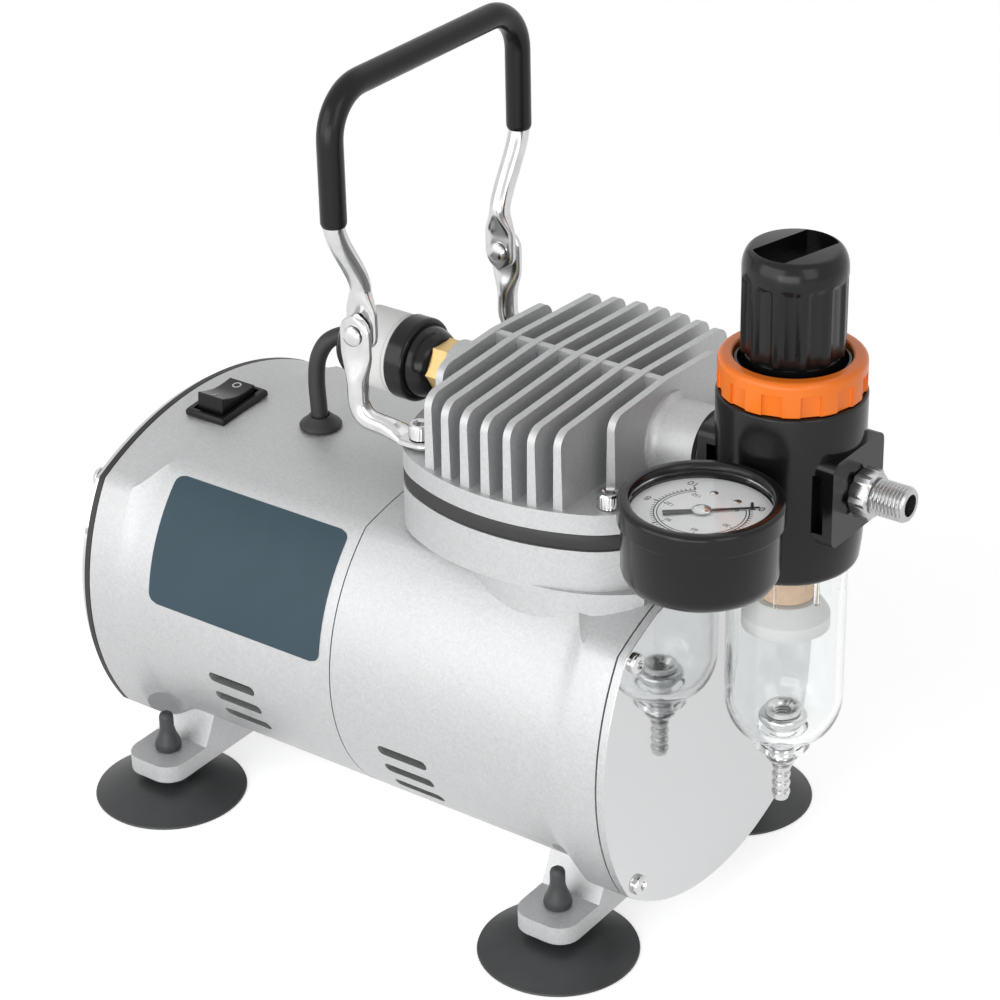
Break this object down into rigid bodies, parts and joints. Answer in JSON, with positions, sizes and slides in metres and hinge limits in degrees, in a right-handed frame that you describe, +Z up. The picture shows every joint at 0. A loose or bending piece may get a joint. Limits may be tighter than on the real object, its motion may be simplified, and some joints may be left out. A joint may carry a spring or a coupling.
{
  "type": "airbrush compressor",
  "caption": "Oil-free airbrush compressor with a cast barrel motor, finned head, filter regulator with gauge, fold-down carry handle and suction feet.",
  "frame": {"origin": "on the table under the middle of the overall box", "axes": "+Z up; +X along the motor towards the regulator and outlet; -Y the side with the gauge"},
  "size_m": [0.2464, 0.1398, 0.2409],
  "materials": {
    "cast_aluminium": "sand-blasted",
    "machined_aluminium": "satin",
    "bright_steel": "bright",
    "lamination_steel": "matte",
    "brass": "satin",
    "sintered_bronze": "porous matte",
    "rubber": "matte",
    "black_plastic": "gloss",
    "orange_plastic": "semi-gloss",
    "white_plastic": "satin",
    "clear_plastic": "clear gloss"
  },
  "bodies": {
    "compressor": {"rear_housing": "cast_aluminium", "front_housing": "cast_aluminium", "cylinder_head": "cast_aluminium", "front_cover": "machined_aluminium", "rear_cover": "machined_aluminium", "front_cover_screw_1": "bright_steel", "front_cover_screw_2": "bright_steel", "front_cover_screw_3": "bright_steel", "front_cover_screw_4": "bright_steel", "rear_cover_screw_1": "bright_steel", "rear_cover_screw_2": "bright_steel", "rear_cover_screw_3": "bright_steel", "rear_cover_screw_4": "bright_steel", "head_screw_1": "bright_steel", "head_screw_2": "bright_steel", "head_screw_3": "bright_steel", "head_screw_4": "bright_steel", "near_bracket": "bright_steel", "far_bracket": "bright_steel", "near_pivot_bolt": "bright_steel", "far_pivot_bolt": "bright_steel", "valve_plate": "bright_steel", "drain_nut": "bright_steel", "outlet_nipple": "bright_steel", "rear_bearing": "bright_steel", "front_bearing": "bright_steel", "stator": "lamination_steel", "brass_fitting": "brass", "filter_element": "sintered_bronze", "rear_gasket": "rubber", "rear_near_foot": "rubber", "rear_far_foot": "rubber", "front_near_foot": "rubber", "front_far_foot": "rubber", "diaphragm": "rubber", "lead_grommet": "rubber", "switch_lead": "rubber", "switch_frame": "black_plastic", "pressure_switch_collar": "black_plastic", "pressure_switch_cap": "black_plastic", "inlet_nipple": "black_plastic", "regulator_body": "black_plastic", "bonnet": "black_plastic", "gauge_case": "black_plastic", "lock_ring": "orange_plastic", "pressure_switch_body": "white_plastic", "baffle": "white_plastic", "gauge_dial": "white_plastic", "filter_bowl": "clear_plastic", "gauge_lens": "clear_plastic"},
    "handle": {"handle_frame": "bright_steel", "handle_grip": "rubber"},
    "rocker": {"switch_rocker": "black_plastic"},
    "adjuster": {"adjusting_screw": "bright_steel"},
    "knob": {"regulator_knob": "black_plastic"},
    "needle": {"gauge_needle": "black_plastic"},
    "drain": {"drain_valve": "bright_steel"},
    "rotor": {"rotor": "bright_steel", "fan": "white_plastic"},
    "rod": {"connecting_rod": "machined_aluminium"}
  },
  "joints": [
    {"name": "handle_fold", "type": "hinge", "parent": "compressor", "child": "handle", "pos_m": [-0.0288, 0, 0.1665], "axis": [0, -1, 0], "range_deg": [0, 115]},
    {"name": "switch_rock", "type": "hinge", "parent": "compressor", "child": "rocker", "pos_m": [-0.1013, -0.00817, 0.11605], "axis": [1, 0, 0], "range_deg": [0, 20]},
    {"name": "pressure_turn", "type": "hinge", "parent": "compressor", "child": "adjuster", "pos_m": [0.0873, 0, 0.1683], "axis": [0, 0, 1], "range_deg": [-1440, 0]},
    {"name": "knob_lift", "type": "slide", "parent": "adjuster", "child": "knob", "axis": [0, 0, 1], "range_m": [0, 0.003]},
    {"name": "needle_swing", "type": "hinge", "parent": "compressor", "child": "needle", "pos_m": [0.0873, -0.0432, 0.1503], "axis": [0, 0, 1], "range_deg": [-270, 0]},
    {"name": "drain_push", "type": "slide", "parent": "compressor", "child": "drain", "axis": [0, 0, 1], "range_m": [0, 0.0025], "stiffness_N_per_m": 200},
    {"name": "rotor_spin", "type": "hinge", "parent": "compressor", "child": "rotor", "pos_m": [-0.0258, 0, 0.066], "axis": [1, 0, 0], "continuous": true},
    {"name": "rod_swing", "type": "hinge", "parent": "rotor", "child": "rod", "pos_m": [0.0202, 0, 0.0635], "axis": [1, 0, 0], "continuous": true, "deforming": ["diaphragm"]}
  ],
  "couplings": [
    {"joint": "rod_swing", "follows": "rotor_spin", "ratio": -1}
  ]
}
